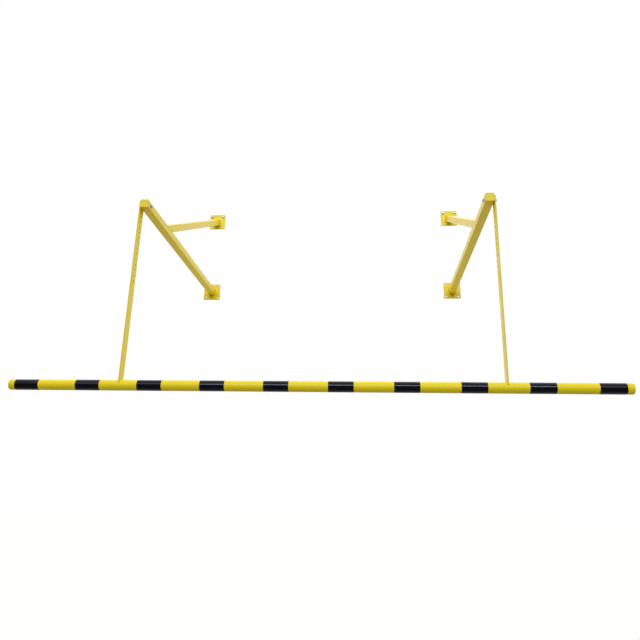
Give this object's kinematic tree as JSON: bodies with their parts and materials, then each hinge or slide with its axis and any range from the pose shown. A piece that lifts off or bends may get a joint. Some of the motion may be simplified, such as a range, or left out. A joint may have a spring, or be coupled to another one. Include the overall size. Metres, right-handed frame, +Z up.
{
  "type": "wall-mounted height limiter",
  "caption": "Swing-away headroom bar: braced wall brackets with square tube arms carry flat hangers and a long yellow and black striped round tube.",
  "frame": {"origin": "on the wall plane, midway between the two brackets, at the height of the arms' centre line", "axes": "+X along the striped tube, +Y into the wall, +Z up"},
  "size_m": [3.92, 1.925, 2.16],
  "materials": {
    "yellow_powder_coat": "semi-gloss traffic yellow powder coat on steel, fine orange peel",
    "yellow_cap_plastic": "moulded yellow plastic, satin",
    "black_gloss_film": "glossy black self-adhesive film",
    "zinc_plated": "bright zinc plate",
    "bare_steel": "bare turned steel"
  },
  "bodies": {
    "wall_brackets": {"lower_wall_plate_left": "yellow_powder_coat", "upper_wall_plate_left": "yellow_powder_coat", "arm_tube_left": "yellow_powder_coat", "arm_end_cap_left": "yellow_powder_coat", "brace_tube_left": "yellow_powder_coat", "pivot_bush_left": "bare_steel", "wall_bolt_left_inner": "zinc_plated", "wall_washer_left_inner": "zinc_plated", "wall_bolt_left_outer": "zinc_plated", "wall_washer_left_outer": "zinc_plated", "lower_wall_plate_right": "yellow_powder_coat", "upper_wall_plate_right": "yellow_powder_coat", "arm_tube_right": "yellow_powder_coat", "arm_end_cap_right": "yellow_powder_coat", "brace_tube_right": "yellow_powder_coat", "pivot_bush_right": "bare_steel", "wall_bolt_right_inner": "zinc_plated", "wall_washer_right_inner": "zinc_plated", "wall_bolt_right_outer": "zinc_plated", "wall_washer_right_outer": "zinc_plated"},
    "pivot_bolts": {"pivot_bolt_left": "zinc_plated", "pivot_nut_left": "zinc_plated", "pivot_head_washer_left": "zinc_plated", "pivot_spacer_washer_left": "zinc_plated", "pivot_nut_washer_left": "zinc_plated", "pivot_bolt_right": "zinc_plated", "pivot_nut_right": "zinc_plated", "pivot_head_washer_right": "zinc_plated", "pivot_spacer_washer_right": "zinc_plated", "pivot_nut_washer_right": "zinc_plated"},
    "swing_bar": {"bar_tube": "yellow_powder_coat", "hanger_left": "yellow_powder_coat", "hanger_right": "yellow_powder_coat", "bar_end_cap_left": "yellow_cap_plastic", "bar_end_cap_right": "yellow_cap_plastic", "black_band_01": "black_gloss_film", "black_band_02": "black_gloss_film", "black_band_03": "black_gloss_film", "black_band_04": "black_gloss_film", "black_band_05": "black_gloss_film", "black_band_06": "black_gloss_film", "black_band_07": "black_gloss_film", "black_band_08": "black_gloss_film", "black_band_09": "black_gloss_film", "black_band_10": "black_gloss_film"}
  },
  "joints": [
    {"name": "swing", "type": "hinge", "parent": "wall_brackets", "child": "pivot_bolts", "pos_m": [0, -1.813, 0], "axis": [1, 0, 0], "range_deg": [-90, 84]},
    {"name": "height_adjust", "type": "slide", "parent": "pivot_bolts", "child": "swing_bar", "axis": [0, 0, 1], "range_m": [0, 0.48]}
  ]
}
